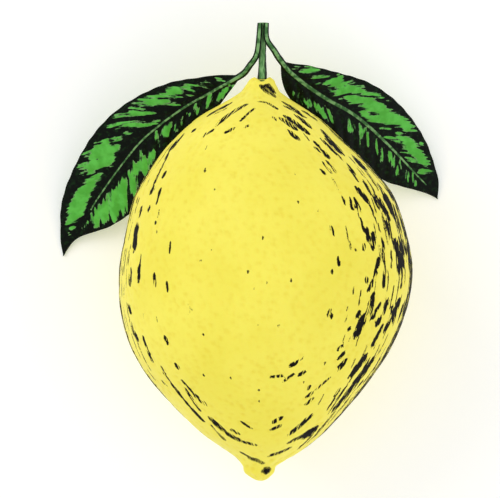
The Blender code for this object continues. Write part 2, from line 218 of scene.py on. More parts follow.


# Each dash of painted shade, dented a little into the rind: degrees round from the top and mm along the core
# where it starts, the same where it ends, and its width in mm. Minus degrees are on the left.
SHADE_DASHES = [
    (2, 41.1, 39, 38.3, 1.4), (19, 41, 45, 39.2, 1.7), (-3, 37.1, 12, 36.9, 0.5),
    (12, 36.9, 22, 35.3, 0.6), (41, 37.2, 50, 34.9, 1.2), (36, 36.2, 51, 33.7, 1),
    (26, 33.9, 39, 30.1, 1.5), (20, 33.4, 30, 30.8, 1.2), (13, 33.6, 18, 32.3, 0.6),
    (22, 30.7, 27, 28.7, 1.2), (59, 35.3, 64, 33.2, 1.3), (39, 34.3, 45, 31.4, 1.2),
    (55, 30.9, 55, 29, 1.5), (53, 29.4, 54, 25.8, 2.5), (46, 29.1, 48, 25.7, 0.9),
    (38, 28.5, 39, 27.2, 0.8), (35, 27.2, 38, 26, 0.8), (39, 26.6, 40, 24.9, 1.4),
    (34, 24.1, 35, 21.6, 0.6), (37, 24.4, 38, 21.8, 0.6), (30, 22.5, 31, 21.4, 0.7),
    (65, 25.4, 63, 22.4, 2.3), (50, 23.9, 50, 21.4, 0.9), (45, 18.8, 49, 15.4, 1.5),
    (53, 18, 55, 14.4, 1.2), (64, 17.6, 68, 12.2, 3), (57, 16.7, 61, 12.2, 1.9), (38, 17, 39, 14.1, 0.8),
    (41, 16.6, 42, 13.6, 1.1), (35, 17, 35, 15, 0.5), (49, 15.1, 52, 9.4, 0.6), (41, 13.6, 42, 9.3, 0.6),
    (59, 12.1, 58, 7.8, 1.7), (26, 10.7, 27, 8.7, 0.7), (28, 4.4, 28, 2.6, 0.8), (25, 1.9, 25, 0.9, 0.5),
    (44, 10.4, 43, 7.5, 0.9), (47, 9.4, 45, 5.9, 1.4), (41, 7.2, 40, 5.6, 0.8), (52, 7.8, 51, 3.3, 1),
    (57, 5.8, 56, 2, 0.7), (63, 7.8, 63, 1.3, 2.6), (69, 7.8, 65, 2, 2.3), (61, 7.8, 61, 5.5, 2),
    (48, 4.2, 45, 0.2, 1.1), (45, 0, 42, -2.9, 0.9), (52, 2, 51, -1.9, 1.4), (41, 0.3, 41, -0.9, 0.9),
    (46, -2.9, 44, -5.8, 1), (44, -5.8, 44, -7.5, 0.7), (51, -5.1, 48, -8.4, 1.1),
    (56, -4.3, 55, -7.6, 1.1), (65, -4.6, 64, -8.6, 2.2), (59, -6.2, 65, -7.7, 1.2),
    (40, -6.6, 39, -8.1, 0.9), (43, -7.6, 41, -12.2, 2.2), (53, -7.9, 52, -9.8, 1.9),
    (62, -8.7, 60, -11.3, 1.6), (57, -9.7, 54, -14.1, 1.2), (37, -10, 36, -10.7, 0.8),
    (26, -6.1, 25, -7.7, 0.6), (27, -7.3, 27, -8.1, 0.6), (36, -13.6, 34, -14.8, 0.9),
    (38, -15.1, 36, -16.7, 0.9), (41, -16.7, 38, -19.1, 1.3), (54, -15.9, 49, -20.6, 2.1),
    (61, -17.9, 57, -24, 2.6), (61, -16.7, 60, -20.5, 1.9), (59, -20.9, 58, -23.9, 2.6),
    (21, -18.9, 18, -19.9, 0.9), (18, -16, 16, -16.9, 0.5), (16, -16.9, 13, -18, 0.9),
    (4, -20.2, 11, -19.8, 0.6), (11, -21.1, 16, -19.3, 0.6), (26, -22, 25, -23.1, 0.6),
    (29, -23.4, 26, -24.8, 0.8), (31, -24.7, 27, -26.3, 0.7), (36, -20.4, 30, -23.2, 0.5),
    (51, -22.8, 51, -25.8, 0.7), (59, -24.3, 55, -27.9, 1.8), (47, -22.9, 46, -24.8, 0.6),
    (37, -28.5, 24, -32.9, 1.2), (50, -31.3, 28, -34.8, 1.2), (50, -31.5, 43, -33.9, 2.4),
    (14, -28.8, 7, -30.1, 1), (14, -30.6, 6, -31.8, 0.8), (37, -35.8, 10, -37.8, 1),
    (-50, 36.9, -58, 34, 1.2), (-43, 35.7, -50, 34.4, 0.7), (-21, 36.5, -36, 31.8, 1.1),
    (-6, 35.5, -16, 32.6, 0.5), (-18, 31.2, -24, 30.1, 0.7), (-7, 31.9, -10, 31.3, 0.5),
    (-34, 31.1, -38, 29.9, 0.6), (-55, 31.1, -56, 30.6, 1.2), (-66, 30.1, -67, 26.7, 1.8),
    (-66, 26.1, -63, 24.2, 1), (-63, 24.2, -61, 19.3, 0.8), (-56, 22.2, -56, 20.8, 1),
    (-59, 19, -61, 17.5, 1.3), (-53, 18.6, -53, 15.4, 0.9), (-58, 15, -58, 13.7, 0.9),
    (-65, 14.8, -66, 12.7, 1.3), (-51, 11.6, -51, 11.3, 1.2), (-66, 11.1, -64, 5.5, 2.3),
    (-58, 4.8, -58, -0.9, 1.1), (-65, 1.8, -65, -1.5, 1.6), (-48, 1.1, -47, -1.7, 0.8),
    (-41, -0.6, -40, -2.9, 0.6), (-67, -5.4, -66, -7.4, 1.2), (-66, -11.5, -66, -13.2, 1.5),
    (-59, -12.1, -59, -14.8, 1), (-59, -14.8, -59, -17.7, 1), (-44, -11.9, -43, -13.6, 0.9),
    (-42, -17.6, -41, -18.7, 1), (-53, -18.4, -54, -20.4, 0.8), (-54, -20.4, -52, -25.5, 0.9),
    (-52, -25.5, -49, -30.1, 1.1), (-43, -21, -40, -24, 0.6), (-40, -24, -36, -26.4, 1.2),
    (-44, -22.8, -44, -27.8, 0.7), (-62, -21.6, -60, -22.7, 0.7), (-40, -29.1, -34, -32.4, 1.4),
    (-34, -32.4, -25, -34.3, 1.3), (-25, -34.3, -9, -35.2, 0.9), (-44, -30.9, -43, -34.1, 0.7),
    (-27, -31.6, -22, -32.7, 0.9), (-16, -29.8, -9, -31.5, 0.5), (-40, -36.8, -29, -38.1, 0.7),
    (-37, -37.9, 2, -39.4, 1.1), (13, -41.2, 42, -40.9, 1.8),
]
# Seeded small dashes of painted shade, most of them packed in a band along each flank's edge: degrees from
# and to, mm along from and to, how many, width and length in mm.
SMALL_SHADE_DASHES = [
    (30, 72, -26, 30, 26, 0.36, 2.4),
    (64, 76, -24, 20, 22, 0.8, 3.4),
    (75, 91, -37, 29, 240, 1.1, 9.0),
    (-78, -64, -22, 26, 8, 0.4, 2.6),
    (-89, -80, -36, 33, 150, 0.8, 8.0),
    (-62, -30, -30, 30, 8, 0.3, 1.8),
    (-30, 40, -26, 30, 24, 0.42, 0.5),
    (98, 262, -32, 33, 60, 0.55, 2.8),
    (46, 76, -36, 24, 75, 0.36, 4.5),
    (-77, -66, -24, 28, 18, 0.34, 4.0),
    (90, 106, -34, 26, 46, 0.7, 5.0),
    (-105, -89, -33, 30, 28, 0.6, 4.5),
]


def inside_stroke(across, along, start, end, width):
    """How deep inside one brush-shaped stroke each place is, and below zero outside it."""
    reach_across, reach_along = end[0] - start[0], end[1] - start[1]
    share = (across - start[0]) * reach_across + (along - start[1]) * reach_along
    share = numpy.clip(share / (reach_across**2 + reach_along**2), 0, 1)
    gap = numpy.hypot(across - start[0] - share * reach_across, along - start[1] - share * reach_along)
    return width / 2 * numpy.sqrt(1 - 0.8 * (2 * share - 1) ** 4) - gap


def rub_depth(turn, y, radius):
    """How deep inside the nearest dash of painted shade each place on the rind is, in mm, and below zero
    outside.
    """
    chance = random.Random(11)
    marks = list(SHADE_DASHES)
    for turn_low, turn_high, y_low, y_high, count, width, length in SMALL_SHADE_DASHES:
        for _ in range(count):
            around, middle = chance.uniform(turn_low, turn_high), chance.uniform(y_low, y_high)
            half = length / 2 * chance.uniform(0.5, 1.5)
            marks.append((around, middle + half, around, middle - half, width * chance.uniform(0.7, 1.2)))
    run = numpy.interp(y, outside_y, outside_run) / MM
    depth = numpy.full(len(turn), -1.0)
    for turn_start, y_start, turn_end, y_end, width in marks:
        middle_turn, middle_y = math.radians(turn_start + turn_end) / 2, (y_start + y_end) / 2 * MM
        swing = math.radians(turn_end - turn_start) / 2 * fruit_radius(middle_y) / MM
        run_start, run_end = numpy.interp([y_start * MM, y_end * MM], outside_y, outside_run) / MM
        off_middle = numpy.abs(run - (run_start + run_end) / 2)
        near = numpy.nonzero(off_middle < abs(run_start - run_end) / 2 + 2)[0]
        across = ((turn[near] - middle_turn + math.pi) % math.tau - math.pi) * radius[near] / MM
        inside = inside_stroke(across, run[near], (-swing, run_start), (swing, run_end), width)
        depth[near] = numpy.maximum(depth[near], inside)
    return depth


PIT_SPACING = 1.5 * MM
PIT_DEPTH = 0.17 * MM
# how deep the dashes of painted shade are dented into the rind
SHADE_DASH_DENT = 0.08 * MM
FOLDS = 9  # faint folds round the neck and the nipple
RIM_NOTCH = 1.1 * MM  # how far the rim dips between its humps, where the calyx shows
RIM_CREST = RIM_DIAMETER / 2 + GAP
FRUIT_AROUND = 400

fruit_form = bmesh.new()
profile_points = [fruit_form.verts.new(point) for point in FRUIT_PROFILE]
profile_edges = [fruit_form.edges.new(pair) for pair in zip(profile_points, profile_points[1:])]
bmesh.ops.spin(
    fruit_form,
    geom=profile_points + profile_edges,
    cent=(0, 0, 0),
    axis=(0, 1, 0),
    angle=math.tau,
    steps=FRUIT_AROUND,
    use_merge=True,
)
bmesh.ops.remove_doubles(fruit_form, verts=fruit_form.verts, dist=0.01 * MM)
fruit_form.normal_update()
bmesh.ops.recalc_face_normals(fruit_form, faces=fruit_form.faces)
places = numpy.array([vert.co[:] for vert in fruit_form.verts])
fruit_turn = numpy.arctan2(places[:, 0], places[:, 2])
fruit_ring = numpy.hypot(places[:, 0], places[:, 2])
rub = rub_depth(fruit_turn, places[:, 1], fruit_ring)
run = numpy.interp(places[:, 1], outside_y, outside_run)
pits = numpy.zeros(len(places))
for index, vert in enumerate(fruit_form.verts):
    place, turn, ring = vert.co.copy(), float(fruit_turn[index]), float(fruit_ring[index])
    in_dimple = place.y > 0.9 * RIM and ring < RIM_CREST
    if in_dimple:
        rub[index] = -1.0
    gland = noise.voronoi(place / PIT_SPACING)[0][0]
    pit_strength = 0.75 + 0.5 * noise.noise(place / (6 * MM))
    pits[index] = (1 - ease(0.1, 0.5, gland)) * pit_strength * (not in_dimple)
    neck = math.exp(-(((RIM - place.y) / (6.5 * MM)) ** 2))
    nipple = math.exp(-(((TIP + place.y) / (7 * MM)) ** 2))
    shape = 0.26 * MM * noise.noise(place / (21 * MM) + Vector((3, 1, 7)))
    shape += 0.1 * MM * noise.noise(place / (5.2 * MM)) + 0.035 * MM * noise.noise(place / (1.9 * MM))
    shape += (0.07 * neck + 0.12 * nipple) * MM * math.cos(FOLDS * turn + 2.5 * math.sin(2 * turn))
    shape -= SHADE_DASH_DENT * ease(-0.25, 0.3, float(rub[index])) + PIT_DEPTH * pits[index]
    if not in_dimple:
        vert.co += vert.normal * shape * ease(0, 3 * MM, ring)
    if place.y > 0.9 * RIM:
        off_crest = (ring - RIM_CREST) / ((0.8 if ring > RIM_CREST else 0.45) * MM)
        dip = math.cos(2 * turn) ** 2 * max(0.15, 0.45 + 0.5 * math.cos(turn))
        vert.co.y -= RIM_NOTCH * dip * math.exp(-(off_crest**2))
    vert.co.x += fruit_middle(place.y)
    vert.co.z = max(0.0, vert.co.z + CORE_HEIGHT)


def finished_piece(name, form, **features):
    """Makes a bmesh into a smooth piece, with one painted-on value for each vertex per feature."""
    mesh = bpy.data.meshes.new(name)
    form.to_mesh(mesh)
    form.free()
    mesh.shade_smooth()
    for feature, values in features.items():
        painted = mesh.attributes.new(feature, "FLOAT", "POINT")
        painted.data.foreach_set("value", numpy.array(values, dtype=float))
    piece = add_to_scene(name, mesh)
    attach(piece, "root")
    return piece


class Finish:
    """A procedural material: its nodes are added one by one, and joined as they are made."""

    def __init__(self, name):
        self.material = bpy.data.materials.new(name)
        self.material.use_nodes = True
        self.tree = self.material.node_tree
        self.where = self.node("ShaderNodeTexCoord").outputs["Object"]

    def node(self, kind, settings=None, inputs=None):
        """Adds a node. Settings are its properties, and inputs are values or the outputs that feed it."""
        new = self.tree.nodes.new(kind)
        for key, value in (settings or {}).items():
            setattr(new, key, value)
        for key, value in (inputs or {}).items():
            self.feed(new.inputs[key], value)
        return new

    def feed(self, socket, value):
        if isinstance(value, bpy.types.NodeSocket):
            self.tree.links.new(value, socket)
        elif isinstance(value, tuple) and socket.type == "RGBA":
            socket.default_value = (*value, 1)
        else:
            socket.default_value = value

    def feature(self, name):
        """A value that was painted on the piece's vertices."""
        return self.node("ShaderNodeAttribute", {"attribute_name": name}).outputs["Fac"]

    def maths(self, operation, first, second=0.0, third=0.0):
        inputs = {0: first, 1: second, 2: third}
        return self.node("ShaderNodeMath", {"operation": operation}, inputs).outputs[0]

    def mottle(self, size, detail=3.0, roughness=0.5, where=None):
        """Cloudy noise whose blotches are about this size."""
        inputs = {"Vector": where or self.where, "Scale": 1 / size, "Detail": detail, "Roughness": roughness}
        return self.node("ShaderNodeTexNoise", None, inputs).outputs["Fac"]

    def step(self, value, low, high):
        """0 below low, 1 above high, and smooth between."""
        inputs = {"Value": value, "From Min": low, "From Max": high}
        return self.node("ShaderNodeMapRange", {"interpolation_type": "SMOOTHSTEP"}, inputs).outputs[0]

    def blend(self, share, first, second):
        return self.node("ShaderNodeMix", {"data_type": "RGBA"}, {0: share, 6: first, 7: second}).outputs[2]

    def bumps(self, height, depth, strength=1.0, under=None):
        inputs = {"Height": height, "Strength": strength, "Distance": depth}
        if under:
            inputs["Normal"] = under
        return self.node("ShaderNodeBump", None, inputs).outputs["Normal"]

    def apply(self, piece, node, slot, **surface):
        """Sets the surface's own values, and puts the finish on a piece that stands for a CAD node."""
        for key, value in surface.items():
            self.feed(self.tree.nodes["Principled BSDF"].inputs[key.replace("_", " ")], value)
        piece.data.materials.append(self.material)
        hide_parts(node)


rind = Finish("waxy_rind")
ripeness = rind.step(rind.mottle(18 * MM, 2.0), 0.35, 0.68)
yellow = rind.blend(ripeness, (0.9, 0.795, 0.09), (0.95, 0.85, 0.115))
speckle = rind.step(rind.mottle(1.1 * MM), 0.45, 0.75)
yellow = rind.blend(rind.maths("MULTIPLY", speckle, 0.18), yellow, (0.84, 0.69, 0.05))
pit = rind.feature("pit")
yellow = rind.blend(rind.maths("MULTIPLY", pit, 0.4), yellow, (0.8, 0.62, 0.04))
# The dashes are painted near-black as painted shade, with ragged edges and gaps along them, and are rougher
# than the rest of the rind.
ragged = rind.maths("MULTIPLY_ADD", rind.mottle(0.4 * MM, 3.0, 0.6), 0.4, -0.2)
around_and_along = {0: rind.feature("around"), 1: rind.maths("MULTIPLY", rind.feature("run"), 0.12)}
lengthwise = rind.node("ShaderNodeCombineXYZ", None, around_and_along).outputs[0]
skipped = rind.step(rind.mottle(0.5 * MM, 2.0, 0.5, lengthwise), 0.54, 0.62)
rub_mark = rind.maths("SUBTRACT", rind.feature("rub"), rind.maths("MULTIPLY", skipped, 0.6))
rubbed = rind.step(rind.maths("ADD", rub_mark, ragged), -0.17, 0.01)
skin_with_painted_shade = rind.blend(rubbed, yellow, (0.003, 0.002, 0.001))
gloss = rind.maths("MULTIPLY_ADD", pit, 0.12, 0.42)
fine_grain = rind.bumps(rind.mottle(0.28 * MM, 2.0), 0.04 * MM, 0.25)
rind.apply(
    finished_piece("lemon_fruit", fruit_form, pit=pits, rub=rub, around=fruit_turn * 0.8 * BELLY, run=run),
    "fruit",
    "rind",
    Base_Color=skin_with_painted_shade,
    Roughness=rind.maths("MULTIPLY_ADD", rubbed, 0.35, gloss),
    Normal=rind.bumps(rind.mottle(0.8 * MM, 2.0), 0.08 * MM, 0.35, fine_grain),
    Specular_IOR_Level=0.12,
    Subsurface_Weight=0.08,
    Subsurface_Scale=0.002,
    Subsurface_Radius=Vector((1.0, 0.7, 0.2)),
    Coat_Weight=0.03,
    Coat_Roughness=0.35,
)


# ---- The calyx ---------------------------------------------------------------------------------------
# The dried flower cup that holds the stalk to the fruit: a green button with five blunt lobes, sunk in
# the dimple. It is thickest in its middle and a little cupped between its lobes.
CALYX_LOBES = 5
CALYX_THICKNESS = 0.5 * MM
CALYX_BED = RIM - DIMPLE_DEPTH + GAP
STALK_X = fruit_middle(RIM)


def grown_rod(around, along, place):
    """A closed rod. place(share, turn) gives the point at a share of its length and an angle round it."""
    form = bmesh.new()
    bmesh.ops.create_cone(form, cap_ends=True, segments=around, radius1=1, radius2=1, depth=1)
    lengthwise = [edge for edge in form.edges if abs(edge.verts[0].co.z - edge.verts[1].co.z) > 0.5]
    bmesh.ops.subdivide_edges(form, edges=lengthwise, cuts=along - 1, use_grid_fill=True)
    for vert in form.verts:
        vert.co = place(round((vert.co.z + 0.5) * along) / along, math.atan2(vert.co.y, vert.co.x))
    form.normal_update()
    bmesh.ops.recalc_face_normals(form, faces=form.faces)
    return form


def on_calyx(share, turn):
    """A point of the calyx: up its outer wall, round its edge, and in over its top."""
    lobed = 0.92 + 0.08 * math.cos(CALYX_LOBES * turn)
    if share < 0.3:
        rise, inset = share / 0.3 * 0.7, 0.04 * share
    else:
        inset = (share - 0.3) / 0.7 * 0.97
        rise = 0.7 + 0.3 * math.sin(min(1.0, inset * 1.6) * math.pi / 2)
    reach = CALYX_DIAMETER / 2 * (1 - inset) * (1 + (lobed - 1) * (1 - inset))
    cupped = 0.05 * MM * math.cos(CALYX_LOBES * turn + math.pi) * (1 - inset) * (share > 0.3)
    height = CALYX_BED + rise * CALYX_THICKNESS + min(0.0, cupped)
    return Vector((STALK_X + reach * math.cos(turn), height, CORE_HEIGHT + reach * math.sin(turn)))


dried_cup = Finish("dried_flower_cup")
dry_patches = dried_cup.step(dried_cup.mottle(0.5 * MM), 0.35, 0.7)
cup_tone = dried_cup.blend(dry_patches, (0.03, 0.09, 0.025), (0.16, 0.3, 0.1))
dried_cup.apply(
    finished_piece("lemon_calyx", grown_rod(80, 26, on_calyx)),
    "calyx",
    "calyx_green",
    Base_Color=cup_tone,
    Roughness=0.65,
    Normal=dried_cup.bumps(dried_cup.mottle(0.25 * MM), 0.06 * MM, 0.6),
)


# ---- The stalk ---------------------------------------------------------------------------------------
# The fruit's own green stalk, flared where it meets the calyx and swollen at the knot that both leaves
# grow from. Its bark is ridged and streaked lengthwise with darker green, it is painted near-black as
# painted shade along its left and right sides, and its cut end shows pale wood.
STALK_FOOT = CALYX_BED + CALYX_THICKNESS + GAP
STALK_LENGTH = 12.0 * MM
STALK_DIAMETER = 1.7 * MM
STALK_FOOT_DIAMETER = 2.2 * MM
STALK_KNOT_DIAMETER = 2.1 * MM
STALK_LEAN = 0.25 * MM  # how far the cut end is to the right of the foot
STALK_RIDGES = 9
STALK_RADII = [  # share of the length, and radius there
    (0.0, STALK_FOOT_DIAMETER / 2),
    (0.12, (STALK_FOOT_DIAMETER + STALK_DIAMETER) / 4),
    (0.3, STALK_DIAMETER / 2),
    (0.62, STALK_DIAMETER / 2),
    (0.8, (STALK_KNOT_DIAMETER + STALK_DIAMETER) / 4),
    (0.9, STALK_KNOT_DIAMETER / 2),
    (1.0, 0.475 * STALK_KNOT_DIAMETER),
]
CUT_FROM = 0.93  # the rod's last stretch is the cut face


def stalk_middle(share):
    return Vector((STALK_X + share * STALK_LEAN, STALK_FOOT + share * STALK_LENGTH, CORE_HEIGHT))


def on_stalk(share, turn):
    length = min(1.0, share / CUT_FROM)
    inward = max(0.0, (share - CUT_FROM) / (1 - CUT_FROM))
    radius = smooth_value(STALK_RADII, length)
    ridge = 0.035 * MM * math.cos(STALK_RIDGES * turn + 3 * length)
    knobbly = 0.04 * MM * noise.noise(Vector((turn, 14 * length, 0)))
    radius = (radius + ridge + knobbly - 0.05 * MM) * (1 - 0.97 * inward)
    wander = 0.05 * MM * math.sin(9 * length)
    hollow = 0.12 * MM * inward * (length >= 1)
    off_middle = Vector((wander + radius * math.cos(turn), -hollow, radius * math.sin(turn)))
    return stalk_middle(length) + off_middle


stalk_form = grown_rod(54, 150, on_stalk)
stalk_side, cut_wood = [], []
for vert in stalk_form.verts:
    off_middle = vert.co - stalk_middle((vert.co.y - STALK_FOOT) / STALK_LENGTH)
    stalk_side.append(abs(off_middle.x) / (STALK_DIAMETER / 2))
    in_from_bark = math.hypot(off_middle.x, off_middle.z) < 0.38 * STALK_KNOT_DIAMETER
    cut_wood.append(float(vert.co.y > STALK_FOOT + STALK_LENGTH - 0.3 * MM and in_from_bark))
bark = Finish("green_bark")
drawn_out = {"Vector": bark.where, "Scale": Vector((1, 0.18, 1))}
along_bark = bark.node("ShaderNodeMapping", None, drawn_out).outputs[0]
lengthwise_streaks = bark.step(bark.mottle(0.35 * MM, where=along_bark), 0.35, 0.65)
bark_tone = bark.blend(lengthwise_streaks, (0.06, 0.2, 0.05), (0.22, 0.46, 0.17))
# Near-black painted shade along the stalk's left and right sides.
uneven_side = bark.maths("ADD", bark.feature("side"), bark.mottle(0.5 * MM, where=along_bark))
shaded_side = bark.step(uneven_side, 0.95, 1.3)
bark_tone = bark.blend(shaded_side, bark_tone, (0.008, 0.02, 0.008))
bark_tone = bark.blend(bark.feature("cut"), bark_tone, (0.42, 0.5, 0.24))
bark.apply(
    finished_piece("lemon_stalk", stalk_form, side=stalk_side, cut=cut_wood),
    "fruit_stalk",
    "stalk_green",
    Base_Color=bark_tone,
    Roughness=0.6,
    Normal=bark.bumps(bark.mottle(0.2 * MM, where=along_bark), 0.06 * MM, 0.7),
    Specular_IOR_Level=0.3,
)


# ---- The left leaf -----------------------------------------------------------------------------------
# A leathery, glossy leaf, one piece from its round petiole to its pointed tip. It droops from the knot
# past the fruit to the table. The top of its blade is near-black green, painted shade that lies in the
# sunken veins and round the edge, with light green painted highlights on the swellings between the veins and
# a pale midrib. Its underside is paler, with raised veins. The petiole is pale along its top and painted
# near-black as painted shade elsewhere.
LEAF_AROUND = 144
LEAF_ALONG = 270
PETIOLE_DIAMETER = 1.45 * MM  # where it meets the blade
PETIOLE_TOP_DIAMETER = 1.1 * MM  # at the knot
PETIOLE_SEAT = 0.2 * MM  # from the cut end down to where a petiole begins
PETIOLE_PARTING = 0.3  # share of the stalk's length, down from its cut end, that the petioles follow it for
MIDRIB_DIAMETER = 0.9 * MM
BLADE_THICKNESS = 0.5 * MM
BLADE_BANK = math.radians(20)  # the outer half of a blade is the higher one at its base
LEAF_CLEARANCE = 0.6 * MM  # kept between a leaf and the rind
RAIL_SIGHT = 2.5 * MM  # how far each way a leaf's direction is taken over
VEIN_SPACING = 4.2 * MM
VEIN_SLOPE = 1.3  # how far a side vein runs towards the tip for each mm out from the midrib
VEIN_STRETCH = math.hypot(1, VEIN_SLOPE)
WAVE_HEIGHT = 0.35 * MM  # of the margin
WAVE_LENGTH = 5.5 * MM
# the width at the blade's edge over which the pale midrib fades into the near-black painted shade
DARK_EDGE = 0.4 * MM

LEFT_LEAF_LENGTH = 76.8 * MM
LEFT_PETIOLE_LENGTH = 12.8 * MM
LEFT_RIB = [(0, 0.38), (0.08, 0.28), (0.4, 0.2), (0.8, 0.15)]  # share of the blade, half width in mm
LEFT_BLADE = (  # share of the blade's length and half width in mm, away from the fruit and under it
    [(0, 0), (0.1, 3.1), (0.25, 6.3), (0.43, 8.4), (0.6, 8.9), (0.85, 6.2), (0.95, 2.6), (1, 0)],
    [(0, 0), (0.17, 4.2), (0.4, 7.9), (0.63, 8.8), (0.8, 6.1), (0.91, 0.9), (1, 0)],
)
LEFT_ROUTE = [  # mm below the rim along the core, mm out from the rind, share of the core's height
    (-5.6, 0.95, 1.046),
    (-4.2, 1.4, 1.031),
    (-2.8, 2.45, 1.0),
    (-0.9, 4.05, 0.945),
    (2.2, 6.1, 0.827),
    (6.1, 7.8, 0.67),
    (12.1, 7.7, 0.508),
    (17.2, 8.0, 0.375),
    (25.7, 9.4, 0.195),
    (31.4, 11.3, 0.091),
    (37.6, 14.2, 0),
    (47.5, 18.0, 0),
]
# Each stroke of the painted highlights: mm along the blade and mm out from the midrib where it starts, the
# same where it ends, and its width in mm. Minus is on the half under the fruit.
LEFT_HIGHLIGHTS = [
    (13.2, 4, 9.7, 2.8, 1), (10.2, 3.2, 8.2, 1.2, 0.5), (8.2, 2.8, 6.7, 1.8, 0.4), (5.7, 2, 4.7, 1, 0.5),
    (12.7, 3.2, 11.7, 1.8, 0.4), (20.2, 5.5, 14.7, 3, 1.2), (17.2, 5.2, 14.2, 3.2, 1.6),
    (15.7, 5, 14.7, 3.5, 1), (16.2, 3, 13.2, 1.2, 0.5), (25.2, 7, 18.2, 3, 1.3),
    (23.2, 6.8, 19.7, 4.8, 1.2), (23.2, 5.2, 16.7, 1.2, 0.6), (26.2, 7, 23.7, 4.8, 0.6),
    (30.2, 7.8, 26.2, 5.2, 0.7), (27.7, 6.2, 22.7, 2.8, 1.1), (26.7, 6.5, 25.2, 4.8, 1),
    (32.2, 7.5, 28.7, 4.8, 0.8), (29.7, 5.5, 25.2, 1.2, 1.4), (26.2, 2, 22.7, 0.8, 0.6),
    (30.7, 4, 29.2, 3, 0.55), (34.2, 6, 38.2, 5.5, 1.8), (35.2, 5, 39.7, 4.8, 2.6),
    (35.7, 3.5, 40.2, 4, 3), (34.2, 2.8, 36.2, 4.2, 1.2), (36.7, 3, 39.7, 2.8, 2.4),
    (38.7, 3.8, 43.7, 5, 2.2), (41.7, 5.2, 45.2, 6.2, 1.1), (33.7, 5.5, 31.7, 4, 0.5),
    (34.2, 4.5, 32.7, 3.8, 0.45), (35.2, 4.5, 33.7, 3.5, 0.45), (41.2, 8, 39.2, 6.8, 0.55),
    (44.2, 7.5, 41.7, 6.5, 0.8), (44.2, 6.5, 42.7, 5.8, 0.4), (42.2, 2.5, 45.2, 3.5, 1.6),
    (44.2, 3.2, 49.7, 3.2, 2.6), (46.7, 3.2, 51.7, 3.2, 3.4), (50.2, 3, 54.2, 3, 3.8),
    (51.7, 3.2, 56.2, 2.8, 2.6), (54.7, 3, 57.2, 3, 1.4), (57.7, 1.8, 56.7, 1.5, 0.4),
    (58.7, 1.5, 59.2, 1.2, 0.5), (3.7, -0.5, 3.2, -1.5, 0.7), (5.7, -1, 3.7, -1.8, 0.6),
    (8.2, -2.2, 6.2, -1.5, 0.8), (8.7, -0.5, 11.2, -2.2, 1), (13.2, -1, 14.2, -2.5, 1.1),
    (16.7, -1, 16.2, -1.8, 0.4), (17.7, -1.5, 19.2, -2.5, 0.5), (20.2, -1, 21.2, -3, 0.6),
    (20.7, -0.8, 22.2, -1.8, 0.8), (22.2, -1.2, 24.2, -2.8, 1.7), (25.2, -0.8, 27.2, -4, 0.6),
    (31.2, -1.2, 32.7, -3, 0.6), (29.2, -3.5, 33.2, -4.5, 1.5), (31.7, -3.2, 35.2, -4.8, 1.9),
    (33.7, -2.8, 37.2, -3.5, 2), (37.7, -1.8, 39.2, -4.5, 1.2), (37.2, -2.8, 41.2, -6, 1.9),
    (33.7, -2.8, 35.2, -5, 1.8), (39.7, -2.2, 42.2, -3.5, 1.5), (41.7, -2.8, 46.7, -5.2, 3.3),
    (44.7, -4.2, 50.2, -5.5, 2.3), (45.2, -1.2, 47.7, -2.8, 1.1), (46.7, -1.8, 51.7, -4, 2.1),
    (48.7, -1.5, 52.7, -2.8, 1.3), (52.7, -2.8, 54.2, -2.5, 0.7), (49.7, -0.8, 53.7, -1, 0.5),
    (53.7, -0.8, 55.7, -0.5, 0.5), (37.2, 6.8, 41.7, 5.2, 2.2), (40.2, -2.8, 47.2, -6.5, 2),
    (42.7, -2.2, 49.7, -5.2, 2.4), (47.7, -2, 53.2, -2, 2.2), (36.7, 5.2, 34.7, 4, 1.2),
]


def leaf_rail(side, route):
    """The line that a leaf's midrib follows, from the knot, out over the neck and down to the table.

    The two petioles start side by side, resting on top of the stalk.
    """
    knots = []
    for share, diameter in (
        (1 - PETIOLE_SEAT / STALK_LENGTH, PETIOLE_TOP_DIAMETER),
        (1 - PETIOLE_PARTING, PETIOLE_DIAMETER),
    ):
        off_stalk = (STALK_KNOT_DIAMETER + diameter) / 2 + GAP
        beside = (diameter + GAP) / 2
        above = math.sqrt(off_stalk**2 - beside**2)
        knots.append(stalk_middle(share) + Vector((side * beside, 0, above)))
    for below_rim, stand_off, height in route:
        y = RIM - below_rim * MM
        beside = fruit_radius(y) + stand_off * MM
        knots.append((fruit_middle(y) + side * beside, y, max(0.6 * BLADE_THICKNESS, height * CORE_HEIGHT)))
    return smooth_line(knots, 0.6 * MM)


def point_on(rail, distance):
    """The point this far along a rail, or its end."""
    for start, end in zip(rail, rail[1:]):
        step = (end - start).length
        if distance <= step:
            return start.lerp(end, distance / step)
        distance -= step
    return rail[-1]


def off_the_rind(point, spare):
    """Keeps a leaf's point under the fruit's overhang where it would cut the rind, and above the table."""
    radius = fruit_radius(point.y)
    keep = radius + LEAF_CLEARANCE + spare
    beside = abs(point.x - fruit_middle(point.y))
    if radius > 0 and beside < keep:
        point.z = min(point.z, CORE_HEIGHT - math.sqrt(keep * keep - beside * beside))
    point.z = max(point.z, 0.0)
    return point


